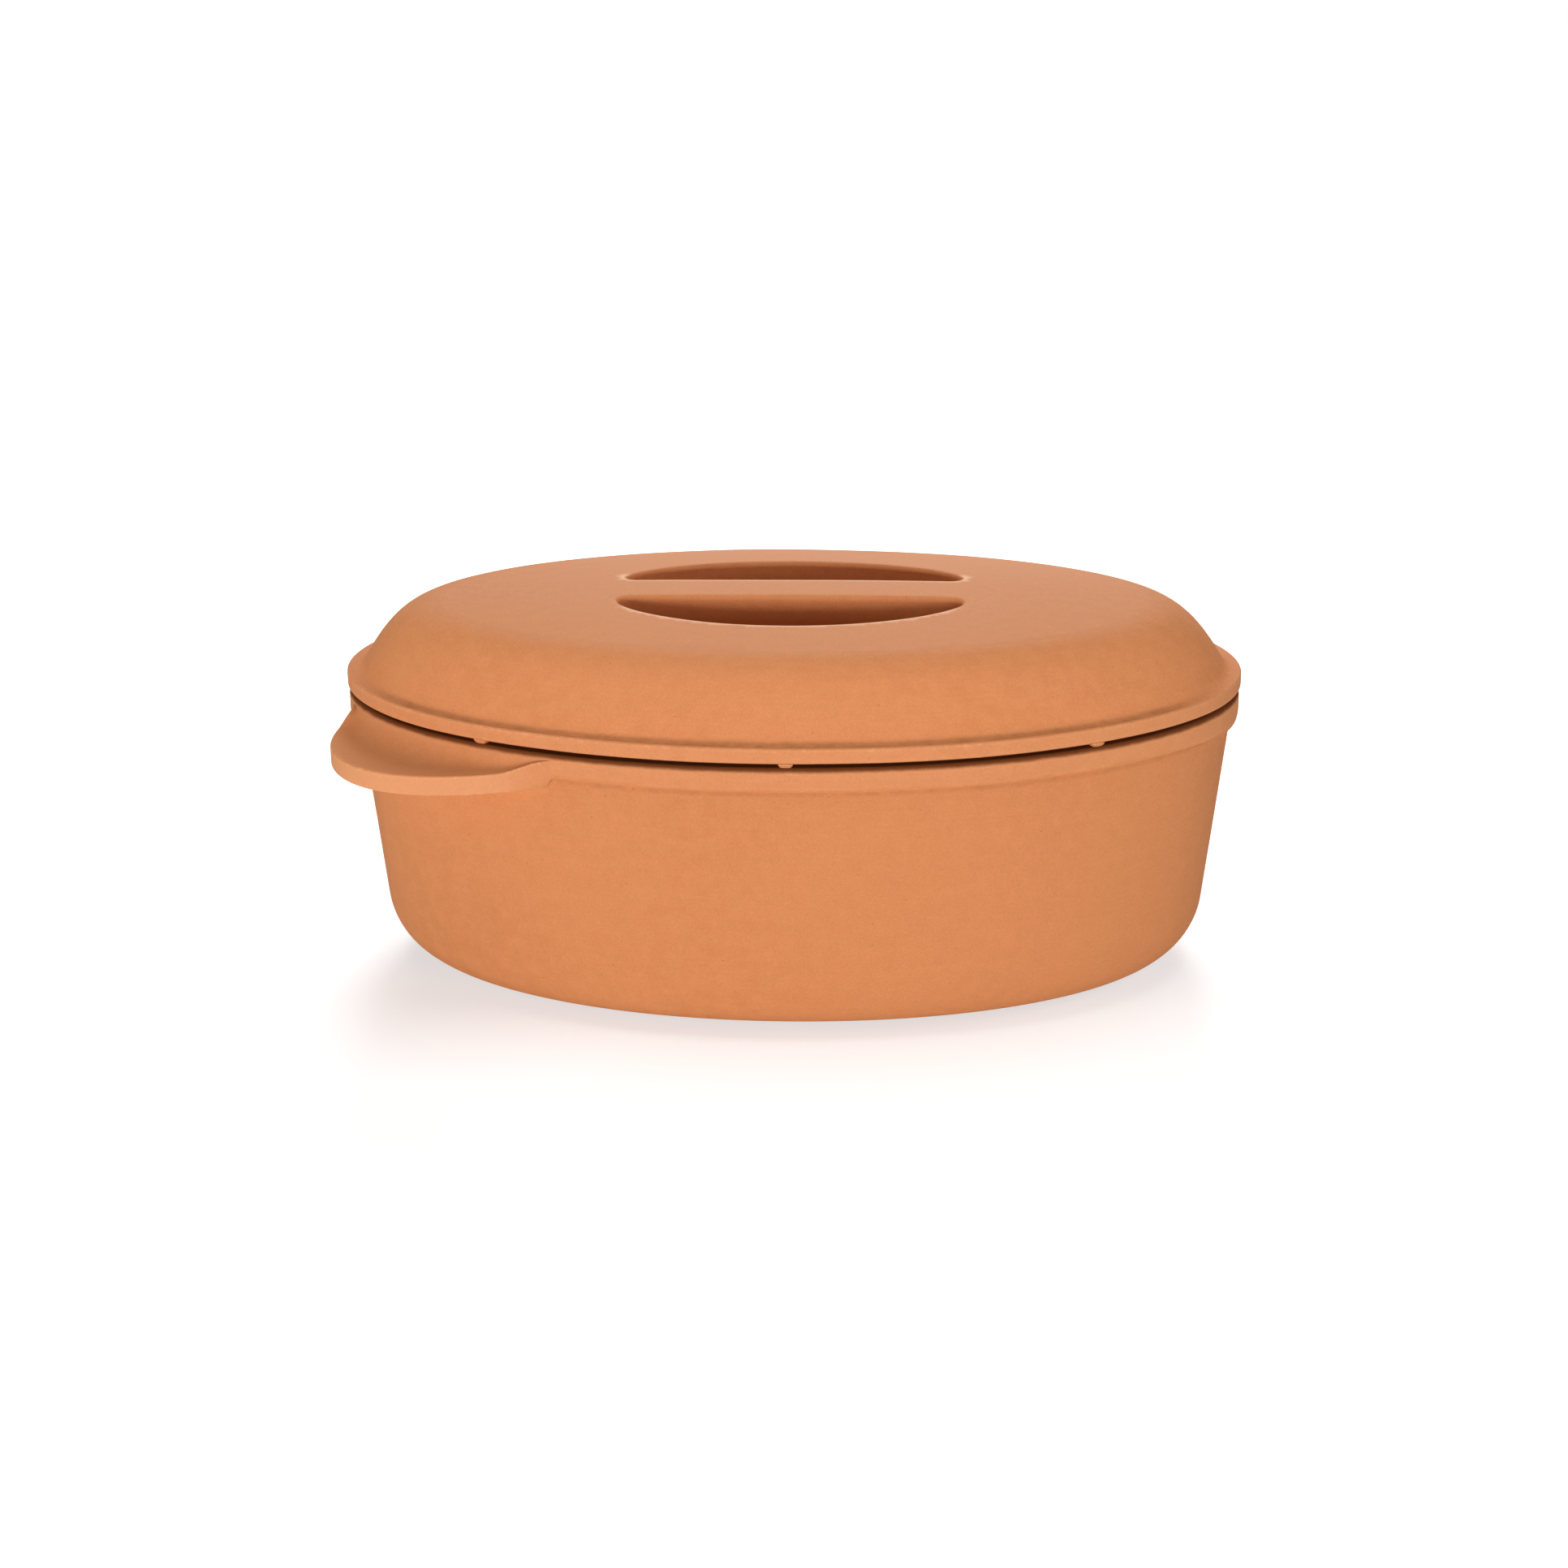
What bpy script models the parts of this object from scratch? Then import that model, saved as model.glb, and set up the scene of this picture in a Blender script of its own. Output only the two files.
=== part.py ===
"""Oval terracotta baking dish with a lift-off lid, each moulded in one piece of unglazed clay.

Metres, +Z up. The origin is the middle of the dish's flat base, and the dish is longest along X.
Every level round is an oval. An inset takes the same amount off both of its half-axes, so the
walls keep their thickness all the way round.
"""

import math

import bmesh
import bpy
from mathutils import Vector
from mathutils.geometry import delaunay_2d_cdt

# Dish
MOUTH_LENGTH = 0.359  # across the outside of the rim band, along X
MOUTH_WIDTH = 0.233
DISH_HEIGHT = 0.1153
DISH_WALL = 0.008
DISH_FLOOR = 0.009
WALL_DRAFT = math.radians(6.3)  # how far the wall leans out
CORNER_RUN = 0.0293  # bottom corner, from the flat base out to the straight wall
CORNER_RISE = 0.0272
BASE_SLOPE = math.radians(4.5)  # the corner leaves the base at this angle
BAND_HEIGHT = 0.0093
BAND_PROUD = 0.003
BAND_ROLL_SHARE = 0.7  # of the band's depth, which its face loses by curving in to its lower edge
BAND_ROLL_RISE = 0.006
RIM_ROUND = 0.0022
EDGE_ROUND = 0.001

# Handles, one at the front left and its twin at the back right
HANDLE_BEARING = math.radians(40.8)  # the oval's own angle of a handle's middle, from +X and from -X
HANDLE_HALF_ARC = 0.058  # along the rim, from the middle of a handle to its foot
HANDLE_REACH = 0.033
HANDLE_FULLNESS = 1.35
HANDLE_THICKNESS = 0.0075
HANDLE_DROP = 0.004  # below the band
HANDLE_TAIL = 0.112  # the drop fades out along the rim, round the end of the dish
HANDLE_FOOT = 0.010  # reach over which the band's face runs into the handle's
HANDLE_FILLET = 0.006
SCOOP_DIP = 0.0205

# Lid
LIP_OVERHANG = 0.0005  # past the dish's rim band
LIP_THICKNESS = 0.0057
LIP_GAP = 0.0019  # steam gap, which the nubs hold open
LIP_ROUND = 0.0006
LIP_EDGE_ROUND = 0.001
LID_WALL = 0.007
FLARE_RUN = 0.0106  # hollow curve from the lip's ledge up to the dome's steepest point
FLARE_RISE = 0.0137
FLARE_SLOPE = math.radians(6.0)
FLARE_REACH = 0.55
DOME_SLOPE = math.radians(56.0)
SHOULDER_RUN = 0.037  # from the lip in to where the dome turns into the crown
SHOULDER_RISE = 0.0323
SHOULDER_SLOPE = math.radians(4.5)
LID_RISE = 0.0366  # lip's underside to the middle of the crown
CROWN_POWER = 0.8  # below 1 the crown rises to a ridge along the bar
SKIRT_CLEARANCE = 0.002
SKIRT_THICKNESS = 0.0055
SKIRT_DEPTH = 0.006
SKIRT_ROUND = 0.0015
NUB_SPACING = 0.1205  # along the lip, between the middle nub of a side and its neighbours
NUB_SHIFT = 0.0024
NUB_LENGTH = 0.0056
NUB_INSET = 0.0029
NUB_SEAT_GAP = 0.0003

# Grip: an oval recess in the crown, crossed by a bar of the lid's own wall
GRIP_LENGTH = 0.136
GRIP_WIDTH = 0.100
GRIP_BAR = 0.0278
GRIP_CORNER = 0.005
GRIP_TAPER = 1.3  # 1 makes each half a half oval, and more makes its ends slimmer
GRIP_ROUND = 0.0025
GRIP_DEPTH = 0.024
GRIP_DRAFT = math.radians(7.0)
GRIP_FLOOR_ROUND = 0.0055
GRIP_ROOT_ROUND = 0.002  # where a well's shell leaves the lid's inner face
GRIP_LEAST_CORNER = 0.0015

# Fineness of the facets
HANDLE_STATIONS = 20
RIM_STATIONS = 52
LID_STATIONS = 72
GRIP_STATIONS = 36
ARC_SAMPLES = 720

# Derived sizes
MOUTH_HALF_LENGTH = MOUTH_LENGTH / 2
MOUTH_HALF_WIDTH = MOUTH_WIDTH / 2
BAND_BOTTOM = DISH_HEIGHT - BAND_HEIGHT
BAND_FACE = BAND_HEIGHT - RIM_ROUND
BAND_ROLL = Vector((BAND_PROUD * BAND_ROLL_SHARE, BAND_ROLL_RISE))
LIP_HALF_LENGTH = MOUTH_HALF_LENGTH + LIP_OVERHANG
LIP_HALF_WIDTH = MOUTH_HALF_WIDTH + LIP_OVERHANG
LID_BASE = DISH_HEIGHT + LIP_GAP
CROWN_HALF_LENGTH = LIP_HALF_LENGTH - SHOULDER_RUN
CROWN_HALF_WIDTH = LIP_HALF_WIDTH - SHOULDER_RUN
MOUTH_INSET = BAND_PROUD - BAND_HEIGHT * math.tan(WALL_DRAFT) + DISH_WALL  # the rim's width
NUB_HEIGHT = LIP_GAP - NUB_SEAT_GAP
SAME_POINT = 1e-6

CLAY_COLOUR = (0.70, 0.27, 0.11, 1.0)
CLAY_ROUGHNESS = 0.92


# Curves

def bezier(start, start_slope, end, end_slope, reach, steps):
    """Points of a cubic curve whose handles are a share, reach, of the distance between its ends."""
    start, end = Vector(start), Vector(end)
    handle = (end - start).length * reach
    leaving = start + handle * Vector((math.cos(start_slope), math.sin(start_slope)))
    arriving = end - handle * Vector((math.cos(end_slope), math.sin(end_slope)))
    points = []
    for step in range(steps + 1):
        t = step / steps
        u = 1 - t
        points.append(u**3 * start + 3 * u * u * t * leaving + 3 * u * t * t * arriving + t**3 * end)
    return points


def arc(centre, radius, start, end, steps):
    """Points of an arc, its angles in degrees."""
    points = []
    for step in range(steps + 1):
        angle = math.radians(start + (end - start) * step / steps)
        points.append(Vector(centre) + radius * Vector((math.cos(angle), math.sin(angle))))
    return points


def roll_curve(corner, roll, steps):
    """A quarter oval that takes off the corner between an underside and the face that rises from it."""
    points = []
    for step in range(steps + 1):
        turn = math.pi / 2 * step / steps
        points.append(corner + Vector((-roll.x * (1 - math.sin(turn)), roll.y * (1 - math.cos(turn)))))
    return points


def smoothstep(value):
    t = min(max(value, 0.0), 1.0)
    return t * t * (3 - 2 * t)


def oval(half_length, half_width, angle):
    return Vector((half_length * math.cos(angle), half_width * math.sin(angle)))


def oval_normal(half_length, half_width, angle):
    return Vector((half_width * math.cos(angle), half_length * math.sin(angle))).normalized()


# Meshes

def loft(bm, sections):
    """Skin a closed round of sections. Neighbouring points of a section that coincide share a vertex."""
    columns = []
    for section in sections:
        column = []
        for point in section:
            if column and (point - column[-1].co).length < SAME_POINT:
                column.append(column[-1])
            else:
                column.append(bm.verts.new(point))
        columns.append(column)
    for here, there in zip(columns, columns[1:] + columns[:1]):
        for row in range(len(here) - 1):
            corners = (here[row], there[row], there[row + 1], here[row + 1])
            corners = list(dict.fromkeys(corners))
            if len(corners) > 2:
                bm.faces.new(corners)
    return columns


def new_object(name, bm, material):
    bmesh.ops.recalc_face_normals(bm, faces=bm.faces)
    mesh = bpy.data.meshes.new(name)
    bm.to_mesh(mesh)
    bm.free()
    mesh.shade_smooth()
    mesh.set_sharp_from_angle(angle=math.radians(40))
    mesh.materials.append(material)
    item = bpy.data.objects.new(name, mesh)
    bpy.context.scene.collection.objects.link(item)
    return item


def clay():
    material = bpy.data.materials.new("terracotta")
    material.use_nodes = True
    shader = material.node_tree.nodes["Principled BSDF"]
    shader.inputs["Base Color"].default_value = CLAY_COLOUR
    shader.inputs["Roughness"].default_value = CLAY_ROUGHNESS
    shader.inputs["Metallic"].default_value = 0.0
    return material


# Dish

def rim_arc_lengths():
    """Running length along the rim's oval from +X, one value for each of ARC_SAMPLES equal angles."""
    lengths = [0.0]
    before = oval(MOUTH_HALF_LENGTH, MOUTH_HALF_WIDTH, 0)
    for sample in range(1, ARC_SAMPLES + 1):
        point = oval(MOUTH_HALF_LENGTH, MOUTH_HALF_WIDTH, math.tau * sample / ARC_SAMPLES)
        lengths.append(lengths[-1] + (point - before).length)
        before = point
    return lengths


def angle_at(lengths, distance):
    """The oval's angle at a distance along the rim."""
    distance %= lengths[-1]
    sample = 1
    while lengths[sample] < distance:
        sample += 1
    share = (distance - lengths[sample - 1]) / (lengths[sample] - lengths[sample - 1])
    return math.tau * (sample - 1 + share) / ARC_SAMPLES


def handle_reach(distance):
    """How far a handle stands out from the band, at a distance along the rim from its middle."""
    share = 1 - (distance / HANDLE_HALF_ARC) ** 2
    return HANDLE_REACH * share**HANDLE_FULLNESS if share > 0 else 0.0


def handle_tail(ahead):
    """Share of a handle's drop that the band keeps, at a distance before the foot near the dish's end.

    The nearest third of the tail keeps all of it.
    """
    return smoothstep(1.5 * (1 - ahead / HANDLE_TAIL))


def dish_stations():
    """The angle, handle's reach and share of its drop of each section of the dish, once round."""
    lengths = rim_arc_lengths()
    half_round = lengths[-1] / 2
    middle = lengths[round(ARC_SAMPLES * HANDLE_BEARING / math.tau)]
    plain_length = half_round - 2 * HANDLE_HALF_ARC
    stations = []
    for side in range(2):
        centre = middle + side * half_round
        for step in range(HANDLE_STATIONS):
            distance = HANDLE_HALF_ARC * (2 * step / HANDLE_STATIONS - 1)
            tail = 1.0 if distance < 0 else 0.0
            stations.append((angle_at(lengths, centre + distance), handle_reach(distance), tail))
        plain_steps = RIM_STATIONS // 2
        for step in range(plain_steps):
            distance = HANDLE_HALF_ARC + plain_length * step / plain_steps
            ahead = plain_length * (1 - step / plain_steps)
            stations.append((angle_at(lengths, centre + distance), 0.0, handle_tail(ahead)))
    return stations


def wall_inset(height):
    return BAND_PROUD + (BAND_BOTTOM - height) * math.tan(WALL_DRAFT)


def corner_curve(steps):
    """Bottom corner from the straight wall down to the base, as inset and height."""
    top = (wall_inset(CORNER_RISE), CORNER_RISE)
    foot = (top[0] + CORNER_RUN, 0.0)
    return bezier(top, WALL_DRAFT - math.pi / 2, foot, -BASE_SLOPE, 0.38, steps)


def handle_curve(reach, tail):
    """From the wall, out under the band or handle, up its edge and back along its top to the rim."""
    grown = smoothstep(reach / HANDLE_FOOT)
    underside = BAND_BOTTOM - HANDLE_DROP * max(grown, tail)
    top = BAND_BOTTOM + BAND_FACE * (1 - grown) + (HANDLE_THICKNESS - HANDLE_DROP) * grown
    rim = BAND_BOTTOM + BAND_FACE
    roll = BAND_ROLL.lerp(Vector((EDGE_ROUND, EDGE_ROUND)), grown)
    fillet = min(HANDLE_FILLET, reach + BAND_PROUD - roll.x)
    wall = -wall_inset(underside)
    points = arc((wall + fillet, underside - fillet), fillet, 180, 90, 3)
    points += roll_curve(Vector((reach, underside)), roll, 3)
    round_top = min(EDGE_ROUND, reach / 2)
    points += arc((reach - round_top, top - round_top), round_top, 0, 90, 2)
    scoop_steps = 6
    for step in range(1, scoop_steps + 1):
        share = 1 - step / scoop_steps if reach > 0 else 1.0
        rise = (rim - top) * (1 - share) ** 4
        dip = SCOOP_DIP * reach / HANDLE_REACH * share * (1 - share) ** 2
        points.append(Vector((share * (reach - round_top), top + rise - dip)))
    return points


def dish_section(reach, tail):
    """Outset from the rim band's face and height, from the base's edge over the rim to the floor's edge."""
    outer = [Vector((-inset, height)) for inset, height in reversed(corner_curve(6))]
    middle = (CORNER_RISE + BAND_BOTTOM) / 2
    points = outer + [Vector((-wall_inset(middle), middle))] + handle_curve(reach, tail)
    points += arc((-RIM_ROUND, DISH_HEIGHT - RIM_ROUND), RIM_ROUND, 0, 90, 3)
    inner_rim = -MOUTH_INSET - RIM_ROUND * math.tan(WALL_DRAFT)
    points += arc((inner_rim + RIM_ROUND, DISH_HEIGHT - RIM_ROUND), RIM_ROUND, 90, 180, 3)
    points += [Vector((-inset - DISH_WALL, height + DISH_FLOOR)) for inset, height in corner_curve(5)]
    return points


def make_dish(material):
    bm = bmesh.new()
    sections = []
    for angle, reach, tail in dish_stations():
        normal = oval_normal(MOUTH_HALF_LENGTH, MOUTH_HALF_WIDTH, angle)
        section = []
        for outset, height in dish_section(reach, tail):
            if outset > 0:
                plan = oval(MOUTH_HALF_LENGTH, MOUTH_HALF_WIDTH, angle) + outset * normal
            else:
                plan = oval(MOUTH_HALF_LENGTH + outset, MOUTH_HALF_WIDTH + outset, angle)
            section.append(Vector((plan.x, plan.y, height)))
        sections.append(section)
    columns = loft(bm, sections)
    bm.faces.new([column[0] for column in columns])
    bm.faces.new([column[-1] for column in columns])
    return new_object("dish", bm, material)


# Lid, in its own frame: heights are from the lip's underside

def crown_height(plan):
    """Height of the crown, which stays level along the bar and falls away across it to the shoulder."""
    along = (plan.x / CROWN_HALF_LENGTH) ** 2
    across = (plan.y / CROWN_HALF_WIDTH) ** 2
    share = (along * (along + across) + across) ** CROWN_POWER
    return LID_RISE - (LID_RISE - SHOULDER_RISE) * share


def dome_curve(steps):
    """Outside of the lid from the lip's upper edge to the crown, as inset and height."""
    steepest = (FLARE_RUN, FLARE_RISE)
    edge = (LIP_EDGE_ROUND, LIP_THICKNESS)
    flare = bezier(edge, FLARE_SLOPE, steepest, DOME_SLOPE, FLARE_REACH, steps * 3 // 4)
    shoulder = (SHOULDER_RUN, SHOULDER_RISE)
    return flare[:-1] + bezier(steepest, DOME_SLOPE, shoulder, SHOULDER_SLOPE, 0.38, steps)


def outer_section():
    lip = arc((LIP_ROUND, LIP_ROUND), LIP_ROUND, 270, 180, 2)
    lip += arc((LIP_EDGE_ROUND, LIP_THICKNESS - LIP_EDGE_ROUND), LIP_EDGE_ROUND, 180, 90, 2)[:-1]
    return lip + dome_curve(8)


def inner_section():
    """Underside from the lip in to the crown: lip, skirt and the dome's inner face."""
    skirt_outer = LIP_OVERHANG + MOUTH_INSET + SKIRT_CLEARANCE
    skirt_inner = skirt_outer + SKIRT_THICKNESS
    points = [Vector((skirt_outer, 0.0))]
    points += arc((skirt_outer + SKIRT_ROUND, SKIRT_ROUND - SKIRT_DEPTH), SKIRT_ROUND, 180, 270, 2)
    points += arc((skirt_inner - SKIRT_ROUND, SKIRT_ROUND - SKIRT_DEPTH), SKIRT_ROUND, 270, 360, 2)
    curve = dome_curve(8)
    for before, point, after in zip(curve, curve[1:], curve[2:] + curve[-1:]):
        along = (after - before).normalized()
        under = point + LID_WALL * Vector((along.y, -along.x))
        if under.x > skirt_inner and under.y > 0:
            points.append(under)
    points[-1] = Vector((SHOULDER_RUN, SHOULDER_RISE - LID_WALL))
    return points


def grip_outline(offset, side):
    """Plan of one finger well, grown by offset: a slim half oval that stands on two rounded corners."""
    chord = GRIP_BAR / 2 - offset
    corner = max(GRIP_CORNER + offset, GRIP_LEAST_CORNER)
    half_length = GRIP_LENGTH / 2 + offset
    far = GRIP_WIDTH / 2 + offset
    points = []
    corner_steps = 4
    oval_steps = GRIP_STATIONS // 2
    for step in range(oval_steps + 1):
        angle = math.pi * step / oval_steps
        rise = (far - chord - corner) * math.sin(angle) ** GRIP_TAPER
        points.append(Vector((half_length * math.cos(angle), chord + corner + rise)))
    points += arc((corner - half_length, chord + corner), corner, 180, 270, corner_steps)[1:]
    points += arc((half_length - corner, chord + corner), corner, 270, 360, corner_steps)[:-1]
    return [Vector((point.x * side, point.y * side)) for point in points]


def well_levels(grown, root):
    """Offset and depth of each ring of a finger well, from the crown down to its floor.

    Grown by the lid's wall, the same rings are the well's underside.
    """
    floor_round = GRIP_FLOOR_ROUND + grown / 2
    straight = GRIP_DEPTH - floor_round
    foot = grown - (straight - root) * math.tan(GRIP_DRAFT)
    quarter = [math.radians(turn) for turn in (0, 30, 60, 90)]
    levels = [(grown + root * (1 - math.sin(turn)), root * (1 - math.cos(turn))) for turn in quarter]
    for turn in quarter:
        levels.append((foot - floor_round * (1 - math.cos(turn)), straight + floor_round * math.sin(turn)))
    return levels


def add_well(bm, side, grown, root):
    """One well's rings, from the crown down to its flat floor. Returns the open ring at the top."""
    middle = crown_height(Vector((0, 0)))
    rings = []
    for offset, depth in well_levels(grown, root):
        share = depth / GRIP_DEPTH
        ring = []
        for plan in grip_outline(offset, side):
            level = crown_height(plan) * (1 - share) + middle * share
            ring.append(Vector((plan.x, plan.y, level - grown - depth)))
        rings.append(ring)
    columns = loft(bm, list(zip(*rings)))
    bm.faces.new([column[-1] for column in columns])
    return [column[0] for column in columns]


def inside(plan, loop):
    """Whether a point in plan lies inside a closed loop of vertices."""
    odd = False
    for here, there in zip(loop, loop[1:] + loop[:1]):
        a, b = here.co, there.co
        if (a.y > plan.y) != (b.y > plan.y) and plan.x < a.x + (plan.y - a.y) * (b.x - a.x) / (b.y - a.y):
            odd = not odd
    return odd


def crown_points(wells):
    """Points in plan that carry the crown's curve: rings round the wells, and the middle of the bar."""
    points = [Vector((GRIP_LENGTH * share, 0)) for share in (-0.25, 0, 0.25)]
    steps = LID_STATIONS // 2
    for share in (0.76, 0.88):
        for step in range(steps):
            angle = math.tau * (step + 0.5) / steps
            plan = share * oval(CROWN_HALF_LENGTH, CROWN_HALF_WIDTH, angle)
            nearest = min((vert.co.xy - plan).length for well in wells for vert in well)
            if nearest > GRIP_CORNER and not any(inside(plan, well) for well in wells):
                points.append(plan)
    return points


def fill_crown(bm, border, wells, lower):
    """Triangulate the crown between its border and the open tops of the two wells."""
    loose = [bm.verts.new((plan.x, plan.y, crown_height(plan) - lower)) for plan in crown_points(wells)]
    verts = list(loose)
    edges = []
    for loop in [border] + wells:
        start, count = len(verts), len(loop)
        edges += [(start + i, start + (i + 1) % count) for i in range(count)]
        verts += loop
    result = delaunay_2d_cdt([vert.co.xy for vert in verts], edges, [], 0, SAME_POINT)
    points, triangles, origins = result[0], result[2], result[3]
    for triangle in triangles:
        middle = sum((points[i] for i in triangle), Vector((0, 0))) / 3
        if not any(inside(middle, well) for well in wells):
            bm.faces.new([verts[origins[i][0]] for i in triangle])


def lid_rings(section, angles):
    """The section set at each angle round the lid, as points in space."""
    sections = []
    for angle in angles:
        column = []
        for inset, height in section:
            plan = oval(LIP_HALF_LENGTH - inset, LIP_HALF_WIDTH - inset, angle)
            column.append(Vector((plan.x, plan.y, height)))
        sections.append(column)
    return sections


def add_nub(bm, angle):
    """A flattened ball centred on the lip's underside, so that its lower half shows."""
    plan = oval(LIP_HALF_LENGTH - NUB_INSET, LIP_HALF_WIDTH - NUB_INSET, angle)
    made = bmesh.ops.create_uvsphere(bm, u_segments=12, v_segments=8, radius=1)
    for vert in made["verts"]:
        vert.co.x *= NUB_LENGTH / 2
        vert.co.y *= NUB_LENGTH / 2
        vert.co.z *= NUB_HEIGHT
        vert.co += Vector((plan.x, plan.y, 0))


def nub_angles():
    """Angles of the nubs: one at each end of the lid and three along each side."""
    lengths = rim_arc_lengths()
    quarter = lengths[-1] / 4
    places = [0, 2 * quarter]
    for middle in (quarter, 3 * quarter):
        places += [middle + NUB_SPACING * step for step in (-1, 0, 1)]
    return [angle_at(lengths, place + NUB_SHIFT) for place in places]


def make_lid(material):
    angles = [math.tau * step / LID_STATIONS for step in range(LID_STATIONS)]
    section = list(reversed(outer_section())) + inner_section()
    bm = bmesh.new()
    columns = loft(bm, lid_rings(section, angles))
    for row, grown, root in ((0, 0.0, GRIP_ROUND), (-1, LID_WALL, GRIP_ROOT_ROUND)):
        border = [column[row] for column in columns]
        wells = [add_well(bm, side, grown, root) for side in (1, -1)]
        fill_crown(bm, border, wells, grown)
    lid = new_object("lid", bm, material)
    lid.location.z = LID_BASE
    return lid


def add_nubs(lid):
    bm = bmesh.new()
    for angle in nub_angles():
        add_nub(bm, angle)
    nubs = new_object("lid_nub_tool", bm, lid.data.materials[0])
    nubs.parent = lid
    nubs.hide_render = True
    nubs.display_type = "WIRE"
    union = lid.modifiers.new("nubs", "BOOLEAN")
    union.operation = "UNION"
    union.object = nubs


def main():
    for item in list(bpy.data.objects):
        bpy.data.objects.remove(item, do_unlink=True)
    material = clay()
    make_dish(material)
    add_nubs(make_lid(material))


main()
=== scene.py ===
"""Looks of the oval terracotta baking dish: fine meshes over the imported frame, clay, light and camera.

Metres, +Z up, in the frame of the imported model.
"""

import math

import bmesh
import bpy
from mathutils import Matrix, Vector, noise
from mathutils.geometry import delaunay_2d_cdt


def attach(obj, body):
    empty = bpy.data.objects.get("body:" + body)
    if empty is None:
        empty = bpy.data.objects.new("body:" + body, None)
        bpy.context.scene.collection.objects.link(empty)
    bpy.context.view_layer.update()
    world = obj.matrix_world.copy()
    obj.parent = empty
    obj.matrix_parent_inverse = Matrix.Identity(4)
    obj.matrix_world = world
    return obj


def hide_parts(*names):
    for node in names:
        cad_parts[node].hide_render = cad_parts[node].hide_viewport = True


# Dish
MOUTH_LENGTH = 0.359
MOUTH_WIDTH = 0.233
DISH_HEIGHT = 0.1153
DISH_WALL = 0.008
DISH_FLOOR = 0.009
WALL_DRAFT = math.radians(6.3)
CORNER_RUN = 0.0293
CORNER_RISE = 0.0272
BASE_SLOPE = math.radians(4.5)
BAND_HEIGHT = 0.0093
BAND_PROUD = 0.003
BAND_ROLL_SHARE = 0.7
BAND_ROLL_RISE = 0.006
RIM_ROUND = 0.0022
EDGE_ROUND = 0.001

# Handles
HANDLE_BEARING = math.radians(40.8)
HANDLE_HALF_ARC = 0.058
HANDLE_REACH = 0.033
HANDLE_FULLNESS = 1.35
HANDLE_THICKNESS = 0.0075
HANDLE_DROP = 0.004
HANDLE_TAIL = 0.112
HANDLE_FOOT = 0.013
HANDLE_HEEL = 0.002
HANDLE_FILLET = 0.006
SCOOP_DIP = 0.0205

# Lid
LIP_OVERHANG = 0.0005
LIP_THICKNESS = 0.0057
LIP_GAP = 0.0019
LIP_ROUND = 0.0006
LIP_EDGE_ROUND = 0.001
LID_WALL = 0.007
FLARE_RUN = 0.0106
FLARE_RISE = 0.0137
FLARE_SLOPE = math.radians(6.0)
FLARE_REACH = 0.55
DOME_SLOPE = math.radians(56.0)
SHOULDER_RUN = 0.037
SHOULDER_RISE = 0.0323
SHOULDER_SLOPE = math.radians(4.5)
LID_RISE = 0.0366
CROWN_POWER = 0.8
SKIRT_CLEARANCE = 0.002
SKIRT_THICKNESS = 0.0055
SKIRT_DEPTH = 0.006
SKIRT_ROUND = 0.0015
NUB_SPACING = 0.1205
NUB_SHIFT = 0.0024
NUB_LENGTH = 0.0060
NUB_WIDTH = 0.0052
NUB_INSET = 0.0029
NUB_SEAT_GAP = 0.0003

# Grip
GRIP_LENGTH = 0.136
GRIP_WIDTH = 0.100
GRIP_BAR = 0.0278
GRIP_CORNER = 0.005
GRIP_TAPER = 1.3
GRIP_ROUND = 0.0025
GRIP_DEPTH = 0.024
GRIP_DRAFT = math.radians(7.0)
GRIP_FLOOR_ROUND = 0.0055
GRIP_ROOT_ROUND = 0.002
GRIP_LEAST_CORNER = 0.0015

# Fineness
HANDLE_STATIONS = 80
RIM_STATIONS = 260
LID_STATIONS = 360
GRIP_STATIONS = 120
ARC_SAMPLES = 2880
LONGEST_STEP = 0.0028
SHORTEST_STEP = 0.0005
STEP_GROWTH = 1.7
CROWN_GRID = 0.0026
FLOOR_RINGS = 16
CORNER_STEPS = 22
DOME_STEPS = 24
SAME_POINT = 1e-7

# Derived sizes
MOUTH_HALF_LENGTH = MOUTH_LENGTH / 2
MOUTH_HALF_WIDTH = MOUTH_WIDTH / 2
BAND_BOTTOM = DISH_HEIGHT - BAND_HEIGHT
BAND_FACE = BAND_HEIGHT - RIM_ROUND
BAND_ROLL = Vector((BAND_PROUD * BAND_ROLL_SHARE, BAND_ROLL_RISE))
LIP_HALF_LENGTH = MOUTH_HALF_LENGTH + LIP_OVERHANG
LIP_HALF_WIDTH = MOUTH_HALF_WIDTH + LIP_OVERHANG
LID_BASE = DISH_HEIGHT + LIP_GAP
CROWN_HALF_LENGTH = LIP_HALF_LENGTH - SHOULDER_RUN
CROWN_HALF_WIDTH = LIP_HALF_WIDTH - SHOULDER_RUN
MOUTH_INSET = BAND_PROUD - BAND_HEIGHT * math.tan(WALL_DRAFT) + DISH_WALL
NUB_HEIGHT = LIP_GAP - NUB_SEAT_GAP

# Warp of the fired clay: how far it swings in metres, and how many swings there are to a metre
WARP_SEED = 11
SLOW_WARP = (0.00022, 14.0)
QUICK_WARP = (0.00005, 55.0)
QUICK_WARP_START = Vector((3.1, 7.7, 1.3))
FLAT_FOOT = 0.012

# Edge wear and painted light and shade: paler clay painted on the crown and steep faces, painted shade on
# the rim, under the lip, in the crease and on the ledge, a painted highlight on the wells' front edges and
# painted shade down the finger wells
# Bend at which edge wear and its painted highlight start, and how much more bend brings them to full
WEAR_AND_HIGHLIGHT_BEND = (250, 900)
# Painted light: paler clay on the crown and on steep faces
PAINTED_LIGHT_CROWN = 0.2
PAINTED_LIGHT_RIM = 0.35
PAINTED_LIGHT_HANDLE = (0.002, 0.012)
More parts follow.
